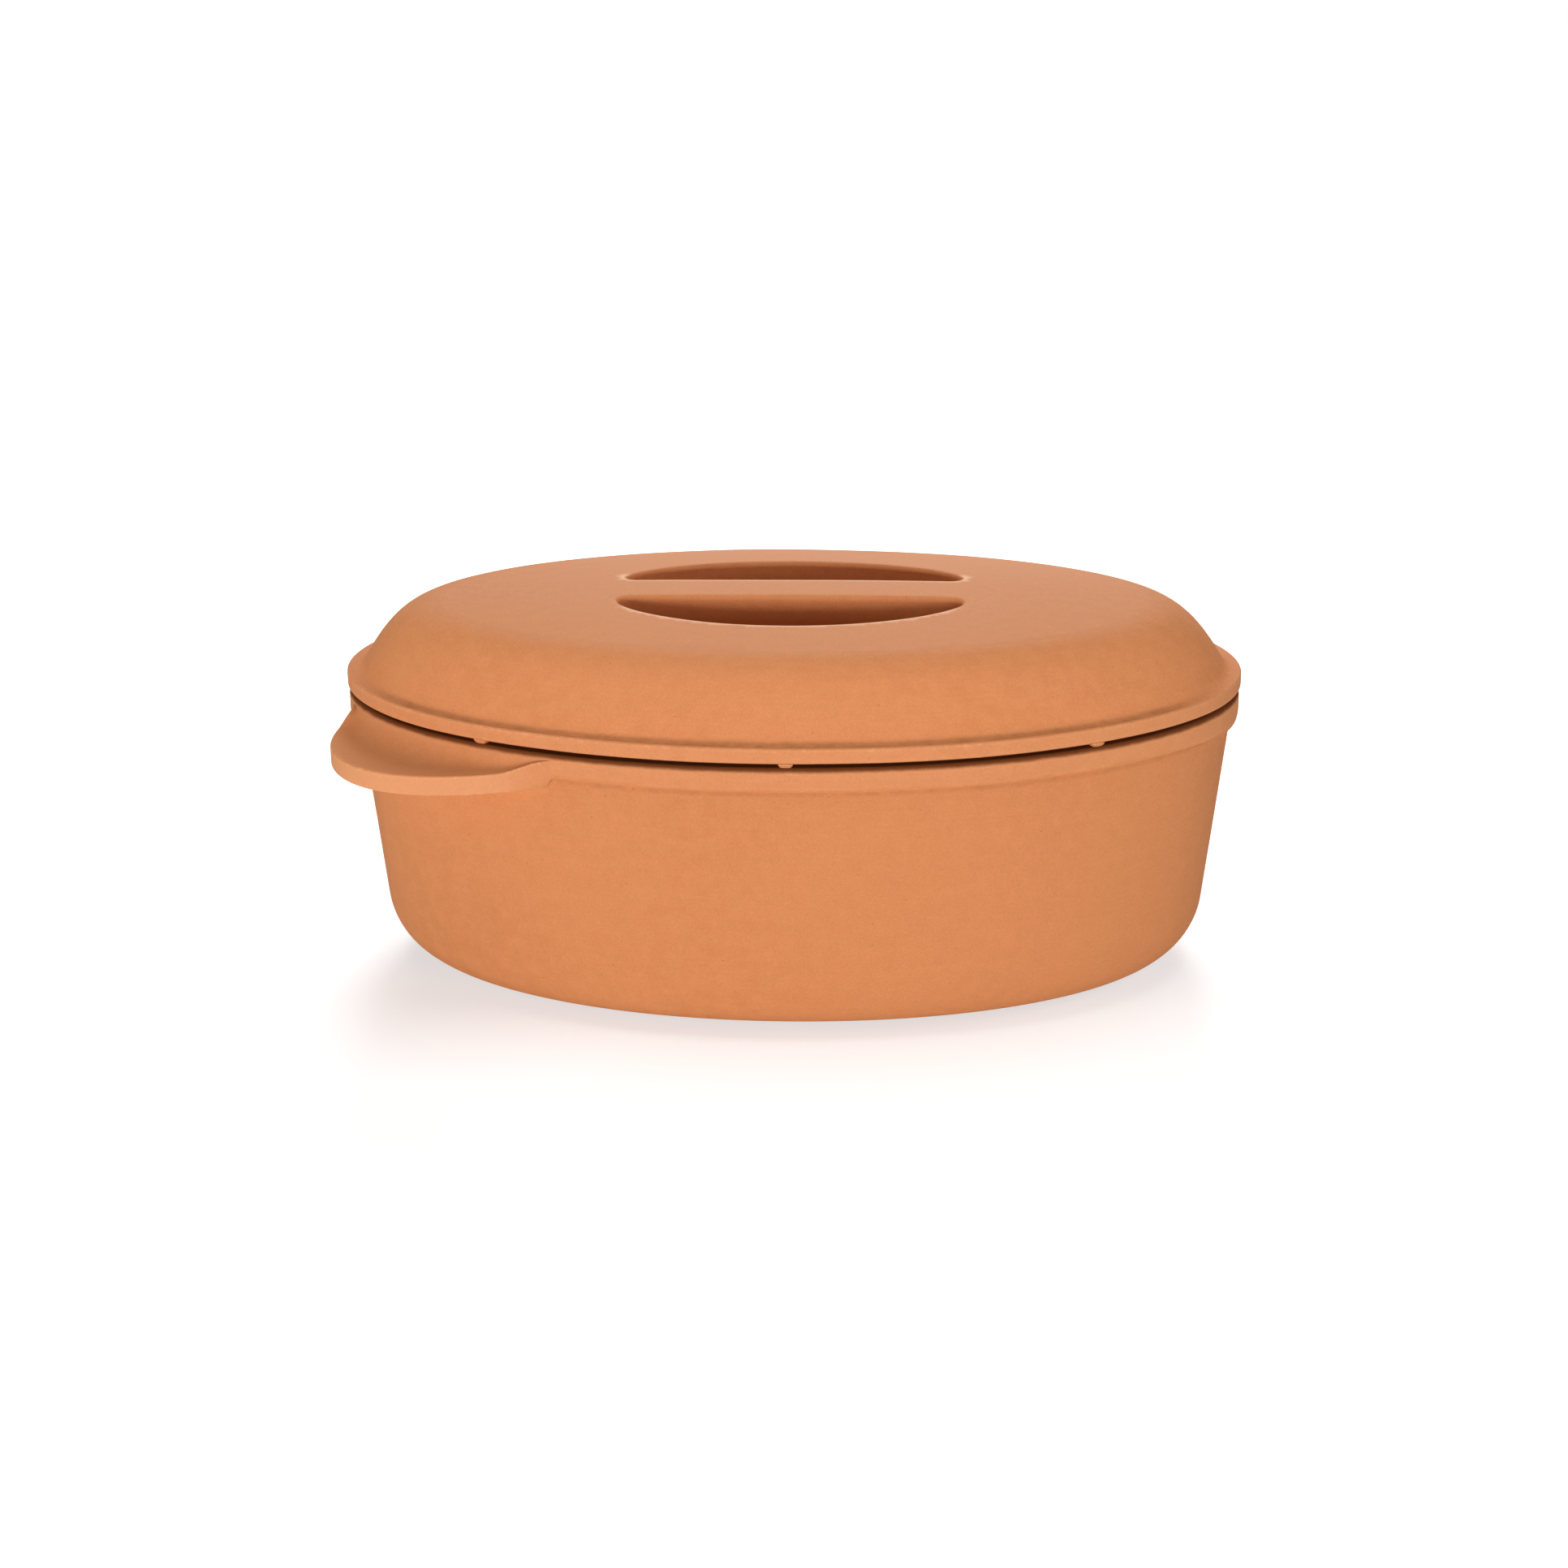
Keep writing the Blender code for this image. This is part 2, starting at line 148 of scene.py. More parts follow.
# Painted shade on the rim's top, under the lip, in the crease under the band and on the lip's ledge
PAINTED_SHADE_DROP = 0.0027
CREASE_PAINTED_SHADE = 0.30
CREASE_FADE = 0.003
LEDGE_PAINTED_SHADE = 0.42
LEDGE_FADE = 0.0075
LEDGE_END_FADE = 0.04
# Painted highlight along the wells' front edges
HIGHLIGHT_FADE = 0.004
HIGHLIGHT_RINGS = 3
# Painted shade that deepens down the finger wells
WELL_SHADE_TOP = 0.003
WELL_SHADE_FADE = 0.011

# Clay, as linear colours
CLAY_DEEP = (0.705, 0.266, 0.100, 1.0)
CLAY_MIDDLE = (0.725, 0.279, 0.107, 1.0)
CLAY_PALE = (0.742, 0.292, 0.114, 1.0)
CLAY_GROG = (0.86, 0.50, 0.28, 1.0)
CLAY_PIT = (0.26, 0.08, 0.025, 1.0)
# Paler clay for edge wear, also used for painted light and a painted highlight
CLAY_WORN_AND_LIT = (0.94, 0.50, 0.27, 1.0)
# Painted shade
CLAY_PAINTED_SHADE = (0.19, 0.045, 0.008, 1.0)
# Painted shade deep in the finger wells
CLAY_PAINTED_WELL_SHADE = (0.36, 0.085, 0.008, 1.0)
# Painted highlight
CLAY_PAINTED_HIGHLIGHT = (0.96, 0.56, 0.33, 1.0)

# Camera, at the photograph's viewing angle
CAMERA_TARGET = Vector((0.0, 0.0, 0.106))
CAMERA_DISTANCE = 1.056
CAMERA_AZIMUTH = math.radians(2.51)
CAMERA_ELEVATION = math.radians(16.92)
CAMERA_ROLL = math.radians(-0.31)
CAMERA_LENS = 59.63
CAMERA_SHIFT = (-0.0054, -0.0532)
CAMERA_SENSOR = 36.0

# Soft boxes: bearing from the front and height in degrees, width and height in metres, and watts
LAMP_TARGET = Vector((0.0, 0.0, 0.08))
LAMP_DISTANCE = 1.6
LAMPS = {
    "front": (-8, 3.6, 1.5, 0.34, 20.8),
    "top": (0, 84, 1.2, 1.2, 13.8),
    "back": (180, 26, 0.8, 0.6, 24.5),
    "side": (75, 30, 0.8, 0.5, 3.4),
}

# Floor and background
FLOOR_SIZE = 30.0
FLOOR_DROP = 0.0002
FLOOR_GREY = 0.65
FLOOR_GLOW = 0.6  # seen by the camera alone, near the dish
FLOOR_SHADE_REACH = (0.22, 0.55)
WORLD_LIGHT = 0.008
WORLD_SHEEN = 0.48


# Curves

def bezier(start, start_slope, end, end_slope, reach, steps):
    """Points of a cubic curve whose handles are a share, reach, of the distance between its ends."""
    start, end = Vector(start), Vector(end)
    handle = (end - start).length * reach
    leaving = start + handle * Vector((math.cos(start_slope), math.sin(start_slope)))
    arriving = end - handle * Vector((math.cos(end_slope), math.sin(end_slope)))
    points = []
    for step in range(steps + 1):
        t = step / steps
        u = 1 - t
        points.append(u**3 * start + 3 * u * u * t * leaving + 3 * u * t * t * arriving + t**3 * end)
    return points


def arc(centre, radius, start, end, steps):
    """Points of an arc, its angles in degrees."""
    points = []
    for step in range(steps + 1):
        angle = math.radians(start + (end - start) * step / steps)
        points.append(Vector(centre) + radius * Vector((math.cos(angle), math.sin(angle))))
    return points


def roll_curve(corner, roll, steps):
    """A quarter oval that takes off the corner between an underside and the face that rises from it."""
    points = []
    for step in range(steps + 1):
        turn = math.pi / 2 * step / steps
        points.append(corner + Vector((-roll.x * (1 - math.sin(turn)), roll.y * (1 - math.cos(turn)))))
    return points


def smoothstep(value):
    t = min(max(value, 0.0), 1.0)
    return t * t * (3 - 2 * t)


def oval(half_length, half_width, angle):
    return Vector((half_length * math.cos(angle), half_width * math.sin(angle)))


def oval_normal(half_length, half_width, angle):
    return Vector((half_width * math.cos(angle), half_length * math.sin(angle))).normalized()


def graded(length):
    """Places to cut a straight stretch: short steps near its ends, growing towards its middle."""
    half = []
    step, place = SHORTEST_STEP, 0.0
    while place + step < length / 2:
        place += step
        half.append(place)
        step = min(step * STEP_GROWTH, LONGEST_STEP)
    return half + [length - place for place in reversed(half)]


def cut_long_steps(section):
    """The same section with its long stretches cut up."""
    cut = [section[0]]
    for before, after in zip(section, section[1:]):
        length = (after - before).length
        if length > LONGEST_STEP:
            cut += [before.lerp(after, place / length) for place in graded(length)]
        cut.append(after)
    return cut


# Meshes

def new_mesh():
    """An empty mesh. Each vertex carries its place along the section, which the turning marks follow.

    It also carries, from 0 to 1, how much painted highlight it has on a well's front edge and how much
    painted shade it has down a well.
    """
    bm = bmesh.new()
    for name in ("profile", "painted_highlight", "hollow"):
        bm.verts.layers.float.new(name)
    return bm


def loft(bm, sections, starts=None):
    """Skin a round of sections. Neighbouring points of a section that coincide share a vertex."""
    profile = bm.verts.layers.float["profile"]
    columns = []
    for number, section in enumerate(sections):
        column = []
        place = starts[number] if starts else 0.0
        for point in section:
            step = (point - column[-1].co).length if column else 0.0
            if column and step < SAME_POINT:
                column.append(column[-1])
                continue
            place += step
            vert = bm.verts.new(point)
            vert[profile] = place
            column.append(vert)
        columns.append(column)
    for here, there in zip(columns, columns[1:] + columns[:1]):
        for row in range(len(here) - 1):
            corners = (here[row], there[row], there[row + 1], here[row + 1])
            corners = list(dict.fromkeys(corners))
            if len(corners) > 2:
                bm.faces.new(corners)
    return columns


def fill_round(bm, ring, rings):
    """Close an oval ring with smaller rings towards its middle."""
    profile = bm.verts.layers.float["profile"]
    # The painted shade of a well carries on over its floor
    hollow = bm.verts.layers.float["hollow"]
    middle = sum((vert.co for vert in ring), Vector()) / len(ring)
    radius = sum((vert.co - middle).length for vert in ring) / len(ring)
    outer = ring
    for step in range(1, rings):
        share = 1 - step / rings
        inner = []
        for vert in ring:
            added = bm.verts.new(middle.lerp(vert.co, share))
            added[profile] = vert[profile] + radius * (1 - share)
            added[hollow] = vert[hollow]
            inner.append(added)
        for i in range(len(ring)):
            j = (i + 1) % len(ring)
            bm.faces.new((outer[i], outer[j], inner[j], inner[i]))
        outer = inner
    centre = bm.verts.new(middle)
    centre[profile] = ring[0][profile] + radius
    centre[hollow] = ring[0][hollow]
    for i in range(len(ring)):
        bm.faces.new((outer[i], outer[(i + 1) % len(ring)], centre))


def warp(place):
    """How far the fired clay has moved from its true shape, at a place in the frame."""
    slow = noise.noise_vector(place * SLOW_WARP[1]) * SLOW_WARP[0]
    quick = noise.noise_vector(place * QUICK_WARP[1] + QUICK_WARP_START) * QUICK_WARP[0]
    return (slow + quick) * smoothstep(place.z / FLAT_FOOT)


def settle(bm):
    """Warp a mesh a little, inside the box of the true shape."""
    low = Vector(min(vert.co[i] for vert in bm.verts) for i in range(3))
    high = Vector(max(vert.co[i] for vert in bm.verts) for i in range(3))
    for vert in bm.verts:
        moved = vert.co + warp(vert.co)
        vert.co = [min(max(moved[i], low[i]), high[i]) for i in range(3)]


def wear_and_highlight_at(vert):
    """From 0 on flat or concave clay to 1 on a sharp edge, which handling rubs pale and which also carries
    a painted highlight.
    """
    bend = 0.0
    for edge in vert.link_edges:
        step = vert.co - edge.other_vert(vert).co
        bend = max(bend, 2 * vert.normal.dot(step) / max(step.length_squared, 1e-12))
    return smoothstep((bend - WEAR_AND_HIGHLIGHT_BEND[0]) / WEAR_AND_HIGHLIGHT_BEND[1])


def mark_wear_and_highlight(bm):
    """Edge wear and painted highlight of each vertex, softened by that of its neighbours."""
    bm.normal_update()
    wear_and_highlight = bm.verts.layers.float.new("wear_and_highlight")
    bm.verts.ensure_lookup_table()
    sharp = [wear_and_highlight_at(vert) for vert in bm.verts]
    for vert in bm.verts:
        near = [sharp[edge.other_vert(vert).index] for edge in vert.link_edges]
        vert[wear_and_highlight] = (sharp[vert.index] + max(near)) / 2


def outset_from_rim(place):
    """Roughly how far a place stands outside the rim's oval, in plan."""
    share = math.hypot(place.x / MOUTH_HALF_LENGTH, place.y / MOUTH_HALF_WIDTH)
    return (share - 1) / max(share, SAME_POINT) * place.xy.length


def painted_light_at(vert):
    """Painted light: how much paler the clay is painted, most on the handles, less on band, lip and crown.
    """
    if vert.co.z > LID_BASE + SHOULDER_RISE and vert.normal.z > 0.9:
        return PAINTED_LIGHT_CROWN
    steep = smoothstep((0.8 - abs(vert.normal.z)) / 0.3)
    outset = outset_from_rim(vert.co)
    if outset < -LIP_EDGE_ROUND or vert.co.z < BAND_BOTTOM - 2 * HANDLE_DROP:
        return 0.0
    on_handle = smoothstep((outset - PAINTED_LIGHT_HANDLE[0]) / PAINTED_LIGHT_HANDLE[1])
    return steep * (PAINTED_LIGHT_RIM + (1 - PAINTED_LIGHT_RIM) * on_handle)


def dish_painted_shade(height, inset):
    """Painted shade on the rim's top and in the crease under the band. Height is from the rim."""
    painted_darkening = smoothstep(1 + height / PAINTED_SHADE_DROP)
    # Painted shade along the crease under the band
    if 0 < inset < MOUTH_INSET / 2:
        from_crease = abs(height + BAND_HEIGHT + CREASE_FADE / 2) / CREASE_FADE
        painted_darkening = max(painted_darkening, CREASE_PAINTED_SHADE * smoothstep(1 - from_crease))
    return painted_darkening


def ledge_painted_shade(inset, along):
    """Painted shade on the outer part of the lip's ledge, and not at the ends of the lid."""
    outer = smoothstep(inset / LIP_EDGE_ROUND - 0.5) * smoothstep(2 - 2 * inset / LEDGE_FADE)
    return LEDGE_PAINTED_SHADE * outer * smoothstep((MOUTH_HALF_LENGTH - abs(along)) / LEDGE_END_FADE)


def painted_shade_at(vert):
    """How much painted shade darkens the clay on the rim, in the crease, under the lip and on its ledge.
    Nubs stay pale.
    """
    height = vert.co.z - DISH_HEIGHT
    inset = -outset_from_rim(vert.co)
    if height <= SAME_POINT:
        return dish_painted_shade(height, inset)
    if height < LIP_GAP / 2:
        return 0.0
    if vert.normal.z > 0.2 and inset < LEDGE_FADE:
        return ledge_painted_shade(inset, vert.co.x)
    # Painted shade on the lip's underside
    sheltered = inset < 2 * MOUTH_INSET and height < LIP_GAP + LIP_EDGE_ROUND
    return smoothstep(-1.2 * vert.normal.z) if sheltered else 0.0


def paint_light_and_shade(bm):
    """Painted light and painted shade of each vertex."""
    painted_light = bm.verts.layers.float.new("painted_light")
    painted_shade = bm.verts.layers.float.new("painted_shade")
    for vert in bm.verts:
        vert[painted_light] = painted_light_at(vert)
        vert[painted_shade] = painted_shade_at(vert)


def new_piece(name, bm, material, body, nodes):
    """Finish a mesh as a piece of the scene: its warp, edge wear with a painted highlight, painted light
    and shade, clay and body.
    """
    bmesh.ops.recalc_face_normals(bm, faces=bm.faces)
    settle(bm)
    mark_wear_and_highlight(bm)
    paint_light_and_shade(bm)
    mesh = bpy.data.meshes.new(name)
    bm.to_mesh(mesh)
    bm.free()
    mesh.shade_smooth()
    mesh.materials.append(material)
    piece = bpy.data.objects.new(name, mesh)
    bpy.context.scene.collection.objects.link(piece)
    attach(piece, body)
    for node in nodes:
        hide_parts(node)
    return piece


# Dish

def rim_arc_lengths():
    """Running length along the rim's oval from +X, one value for each of ARC_SAMPLES equal angles."""
    lengths = [0.0]
    before = oval(MOUTH_HALF_LENGTH, MOUTH_HALF_WIDTH, 0)
    for sample in range(1, ARC_SAMPLES + 1):
        point = oval(MOUTH_HALF_LENGTH, MOUTH_HALF_WIDTH, math.tau * sample / ARC_SAMPLES)
        lengths.append(lengths[-1] + (point - before).length)
        before = point
    return lengths


def angle_at(lengths, distance):
    """The oval's angle at a distance along the rim."""
    distance %= lengths[-1]
    sample = 1
    while lengths[sample] < distance:
        sample += 1
    share = (distance - lengths[sample - 1]) / (lengths[sample] - lengths[sample - 1])
    return math.tau * (sample - 1 + share) / ARC_SAMPLES


def handle_reach(distance):
    """How far a handle stands out from the band, at a distance along the rim from its middle."""
    share = 1 - (distance / HANDLE_HALF_ARC) ** 2
    return HANDLE_REACH * share**HANDLE_FULLNESS if share > 0 else 0.0


def handle_tail(ahead):
    """Share of a handle's drop that the band keeps, at a distance before the foot near the dish's end.

    The nearest third of the tail keeps all of it.
    """
    return smoothstep(1.5 * (1 - ahead / HANDLE_TAIL))


def dish_stations():
    """The angle, handle's reach and share of its drop of each section of the dish, once round."""
    lengths = rim_arc_lengths()
    half_round = lengths[-1] / 2
    middle = lengths[round(ARC_SAMPLES * HANDLE_BEARING / math.tau)]
    plain_length = half_round - 2 * HANDLE_HALF_ARC
    stations = []
    for side in range(2):
        centre = middle + side * half_round
        for step in range(HANDLE_STATIONS):
            distance = HANDLE_HALF_ARC * (2 * step / HANDLE_STATIONS - 1)
            tail = 1.0 if distance < 0 else 0.0
            stations.append((angle_at(lengths, centre + distance), handle_reach(distance), tail))
        plain_steps = RIM_STATIONS // 2
        for step in range(plain_steps):
            distance = HANDLE_HALF_ARC + plain_length * step / plain_steps
            ahead = plain_length * (1 - step / plain_steps)
            stations.append((angle_at(lengths, centre + distance), 0.0, handle_tail(ahead)))
    return stations


def wall_inset(height):
    """How far the outside of the wall lies in from the band's face."""
    return BAND_PROUD + (BAND_BOTTOM - height) * math.tan(WALL_DRAFT)


def corner_curve(steps):
    """Bottom corner from the straight wall down to the base, as inset and height."""
    top = (wall_inset(CORNER_RISE), CORNER_RISE)
    foot = (top[0] + CORNER_RUN, 0.0)
    return bezier(top, WALL_DRAFT - math.pi / 2, foot, -BASE_SLOPE, 0.38, steps)


def handle_curve(reach, tail):
    """From the wall, out under the band or handle, up its edge and back along its top to the rim."""
    grown = smoothstep(reach / HANDLE_FOOT)
    dropped = smoothstep(reach / HANDLE_HEEL)
    underside = BAND_BOTTOM - HANDLE_DROP * max(dropped, tail)
    top = BAND_BOTTOM + BAND_FACE * (1 - grown) + (HANDLE_THICKNESS - HANDLE_DROP) * grown
    rim = BAND_BOTTOM + BAND_FACE
    roll = BAND_ROLL.lerp(Vector((EDGE_ROUND, EDGE_ROUND)), grown)
    fillet = min(HANDLE_FILLET, reach + BAND_PROUD - roll.x)
    wall = -wall_inset(underside)
    points = arc((wall + fillet, underside - fillet), fillet, 180, 90, 8)
    points += spread(points.pop(), Vector((reach - roll.x, underside)), 10)[:-1]
    points += roll_curve(Vector((reach, underside)), roll, 8)
    round_top = min(EDGE_ROUND, reach / 2)
    points += spread(points.pop(), Vector((reach, top - round_top)), 7)[:-1]
    points += arc((reach - round_top, top - round_top), round_top, 0, 90, 5)
    scoop_steps = 22
    for step in range(1, scoop_steps + 1):
        share = 1 - step / scoop_steps if reach > 0 else 1.0
        rise = (rim - top) * (1 - share) ** 4
        dip = SCOOP_DIP * reach / HANDLE_REACH * share * (1 - share) ** 2
        points.append(Vector((share * (reach - round_top), top + rise - dip)))
    return points


def spread(start, end, steps):
    """Points of a straight stretch, closer together towards its ends."""
    points = []
    for step in range(steps + 1):
        share = (1 - math.cos(math.pi * step / steps)) / 2
        points.append(start.lerp(end, share))
    return points


def rim_and_inside():
    """Over the rim from the band's face, down the inside and round its corner to the floor's edge."""
    points = arc((-RIM_ROUND, DISH_HEIGHT - RIM_ROUND), RIM_ROUND, 0, 90, 6)
    inner_rim = -MOUTH_INSET - RIM_ROUND * math.tan(WALL_DRAFT)
    points += arc((inner_rim + RIM_ROUND, DISH_HEIGHT - RIM_ROUND), RIM_ROUND, 90, 180, 6)
    for inset, height in corner_curve(CORNER_STEPS):
        points.append(Vector((-inset - DISH_WALL, height + DISH_FLOOR)))
    return cut_long_steps(points)


def dish_section(reach, tail):
    """Outset from the band's face and height, from the base's edge over the rim to the floor's edge."""
    corner = [Vector((-inset, height)) for inset, height in reversed(corner_curve(CORNER_STEPS))]
    band = handle_curve(reach, tail)
    wall = spread(corner[-1], band[0], 36)[1:-1]
    return corner + wall + band + rim_and_inside()


def make_dish(material):
    bm = new_mesh()
    sections = []
    for angle, reach, tail in dish_stations():
        normal = oval_normal(MOUTH_HALF_LENGTH, MOUTH_HALF_WIDTH, angle)
        section = []
        for outset, height in dish_section(reach, tail):
            if outset > 0:
                plan = oval(MOUTH_HALF_LENGTH, MOUTH_HALF_WIDTH, angle) + outset * normal
            else:
                plan = oval(MOUTH_HALF_LENGTH + outset, MOUTH_HALF_WIDTH + outset, angle)
            section.append(Vector((plan.x, plan.y, height)))
        sections.append(section)
    columns = loft(bm, sections)
    fill_round(bm, [column[0] for column in columns], FLOOR_RINGS)
    fill_round(bm, [column[-1] for column in columns], FLOOR_RINGS)
    new_piece("dish_clay", bm, material, "dish", ["dish"])


# Lid: heights are from the lip's underside, and the mesh is then raised to LID_BASE

def crown_height(plan):
    """Height of the crown, which stays level along the bar and falls away across it to the shoulder."""
    along = (plan.x / CROWN_HALF_LENGTH) ** 2
    across = (plan.y / CROWN_HALF_WIDTH) ** 2
    share = (along * (along + across) + across) ** CROWN_POWER
    return LID_RISE - (LID_RISE - SHOULDER_RISE) * share


def dome_curve(steps):
    """Outside of the lid from the lip's upper edge to the crown, as inset and height."""
    steepest = (FLARE_RUN, FLARE_RISE)
    edge = (LIP_EDGE_ROUND, LIP_THICKNESS)
    flare = bezier(edge, FLARE_SLOPE, steepest, DOME_SLOPE, FLARE_REACH, steps)
    shoulder = (SHOULDER_RUN, SHOULDER_RISE)
    return flare[:-1] + bezier(steepest, DOME_SLOPE, shoulder, SHOULDER_SLOPE, 0.38, steps)


def outer_section():
    """Outside of the lid from under the lip's edge to the crown, as inset and height."""
    lip = arc((LIP_ROUND, LIP_ROUND), LIP_ROUND, 270, 180, 4)
    lip += arc((LIP_EDGE_ROUND, LIP_THICKNESS - LIP_EDGE_ROUND), LIP_EDGE_ROUND, 180, 90, 5)[:-1]
    return cut_long_steps(lip) + dome_curve(DOME_STEPS)


def inner_section():
    """Underside from the lip in to the crown: lip, skirt and the dome's inner face."""
    skirt_outer = LIP_OVERHANG + MOUTH_INSET + SKIRT_CLEARANCE
    skirt_inner = skirt_outer + SKIRT_THICKNESS
    points = [Vector((LIP_ROUND, 0.0)), Vector((skirt_outer, 0.0))]
    points += arc((skirt_outer + SKIRT_ROUND, SKIRT_ROUND - SKIRT_DEPTH), SKIRT_ROUND, 180, 270, 5)
    points += arc((skirt_inner - SKIRT_ROUND, SKIRT_ROUND - SKIRT_DEPTH), SKIRT_ROUND, 270, 360, 5)
    curve = dome_curve(DOME_STEPS)
    for before, point, after in zip(curve, curve[1:], curve[2:] + curve[-1:]):
        along = (after - before).normalized()
        under = point + LID_WALL * Vector((along.y, -along.x))
        if under.x > skirt_inner and under.y > 0:
            points.append(under)
    points[-1] = Vector((SHOULDER_RUN, SHOULDER_RISE - LID_WALL))
    return cut_long_steps(points)[1:]


def grip_outline(offset, side):
    """Plan of one finger well, grown by offset: a slim half oval that stands on two rounded corners."""
    chord = GRIP_BAR / 2 - offset
    corner = max(GRIP_CORNER + offset, GRIP_LEAST_CORNER)
    half_length = GRIP_LENGTH / 2 + offset
    far = GRIP_WIDTH / 2 + offset
    points = []
    corner_steps = 8
    oval_steps = GRIP_STATIONS // 2
    bar_steps = 40
    for step in range(oval_steps + 1):
        angle = math.pi * step / oval_steps
        rise = (far - chord - corner) * math.sin(angle) ** GRIP_TAPER
        points.append(Vector((half_length * math.cos(angle), chord + corner + rise)))
    points += arc((corner - half_length, chord + corner), corner, 180, 270, corner_steps)[1:]
    ends = Vector((corner - half_length, chord)), Vector((half_length - corner, chord))
    points += [ends[0].lerp(ends[1], step / bar_steps) for step in range(1, bar_steps)]
    points += arc((half_length - corner, chord + corner), corner, 270, 360, corner_steps)[:-1]
    return [Vector((point.x * side, point.y * side)) for point in points]


def well_levels(grown, root):
    """Offset and depth of each ring of a finger well, from the crown down to its floor."""
    floor_round = GRIP_FLOOR_ROUND + grown / 2
    straight = GRIP_DEPTH - floor_round
    foot = grown - (straight - root) * math.tan(GRIP_DRAFT)
    turns = [math.radians(90 * step / 8) for step in range(9)]
    levels = []
    for turn in turns:
        levels.append(Vector((grown + root * (1 - math.sin(turn)), root * (1 - math.cos(turn)))))
    for turn in turns:
        level = (foot - floor_round * (1 - math.cos(turn)), straight + floor_round * math.sin(turn))
        levels.append(Vector(level))
    return cut_long_steps(levels)


def crown_profile(plan):
    """Place along the section of a point on the crown, counted on from the shoulder."""
    share = math.hypot(plan.x / CROWN_HALF_LENGTH, plan.y / CROWN_HALF_WIDTH)
    return (share - 1) * CROWN_HALF_WIDTH


def paint_well_light_and_shade(bm, columns):
    """A painted highlight along the well's front edge, and painted shade that deepens towards its floor."""
    painted_highlight = bm.verts.layers.float["painted_highlight"]
    hollow = bm.verts.layers.float["hollow"]
    middle = sum(column[0].co.y for column in columns) / len(columns)
    for column in columns:
        top = column[0].co
        # Painted highlight on the well's front edge
        for vert in column[:HIGHLIGHT_RINGS]:
            vert[painted_highlight] = smoothstep((middle - top.y) / HIGHLIGHT_FADE)
        # Painted shade that deepens down the well
        for vert in column:
            vert[hollow] = smoothstep((top.z - vert.co.z - WELL_SHADE_TOP) / WELL_SHADE_FADE)


def add_well(bm, side, grown, root):
    """One well's rings, from the crown down to its flat floor. Returns the open ring at the top."""
    middle = crown_height(Vector((0, 0)))
    rings = []
    for offset, depth in well_levels(grown, root):
        share = depth / GRIP_DEPTH
        ring = []
        for plan in grip_outline(offset, side):
            level = crown_height(plan) * (1 - share) + middle * share
            ring.append(Vector((plan.x, plan.y, level - grown - depth)))
        rings.append(ring)
    columns = loft(bm, list(zip(*rings)), [crown_profile(point) for point in rings[0]])
    if grown == 0:
        paint_well_light_and_shade(bm, columns)
    fill_round(bm, [column[-1] for column in columns], FLOOR_RINGS)
    return [column[0] for column in columns]


def inside(plan, loop):
    """Whether a point in plan lies inside a closed loop of vertices."""
    odd = False
    for here, there in zip(loop, loop[1:] + loop[:1]):
        a, b = here.co, there.co
        if (a.y > plan.y) != (b.y > plan.y):
            crossing = a.x + (plan.y - a.y) * (b.x - a.x) / (b.y - a.y)
            if plan.x < crossing:
                odd = not odd
    return odd


def crown_points(wells):
    """A grid of points in plan that carries the crown's curve between its border and the wells."""
    points = []
    across = int(CROWN_HALF_WIDTH / CROWN_GRID) + 1
    along = int(CROWN_HALF_LENGTH / CROWN_GRID) + 1
    margin = CROWN_GRID * 0.6
    half_length, half_width = CROWN_HALF_LENGTH - margin, CROWN_HALF_WIDTH - margin
    for row in range(-across, across + 1):
        for column in range(-along, along + 1):
            plan = Vector(((column + 0.5 * (row % 2)) * CROWN_GRID, row * CROWN_GRID * 0.87))
            edge = math.hypot(plan.x / half_length, plan.y / half_width)
            if edge > 1 or any(inside(plan, well) for well in wells):
                continue
            if min((vert.co.xy - plan).length_squared for well in wells for vert in well) > margin**2:
                points.append(plan)
    return points


def fill_crown(bm, border, wells, lower):
    """Triangulate the crown between its border and the open tops of the two wells."""
    profile = bm.verts.layers.float["profile"]
    verts = []
    for plan in crown_points(wells):
        vert = bm.verts.new((plan.x, plan.y, crown_height(plan) - lower))
        vert[profile] = crown_profile(plan)
        verts.append(vert)
    edges = []
    for loop in [border] + wells:
        start, count = len(verts), len(loop)
        edges += [(start + i, start + (i + 1) % count) for i in range(count)]
        verts += loop
    result = delaunay_2d_cdt([vert.co.xy for vert in verts], edges, [], 0, SAME_POINT)
    points, triangles, origins = result[0], result[2], result[3]
    for triangle in triangles:
        middle = sum((points[i] for i in triangle), Vector((0, 0))) / 3
        if not any(inside(middle, well) for well in wells):
            bm.faces.new([verts[origins[i][0]] for i in triangle])


def lid_rings(section, angles):
    """The section set at each angle round the lid, as points in space."""
    sections = []
    for angle in angles:
        column = []
        for inset, height in section:
            plan = oval(LIP_HALF_LENGTH - inset, LIP_HALF_WIDTH - inset, angle)
            column.append(Vector((plan.x, plan.y, height)))
        sections.append(column)
    return sections


def nub_rings():
    """Half-length, half-width and height of each ring of a nub, from inside the lip down to its tip."""
    rings = [(1.0, 1.0, 0.0006)]
    for step in range(9):
        turn = math.radians(90 * step / 8)
        out = math.cos(turn)
        rings.append((0.52 + 0.48 * out, 0.6 + 0.4 * out, -NUB_HEIGHT * math.sin(turn)))
    return [(NUB_LENGTH / 2 * long, NUB_WIDTH / 2 * wide, height) for long, wide, height in rings]


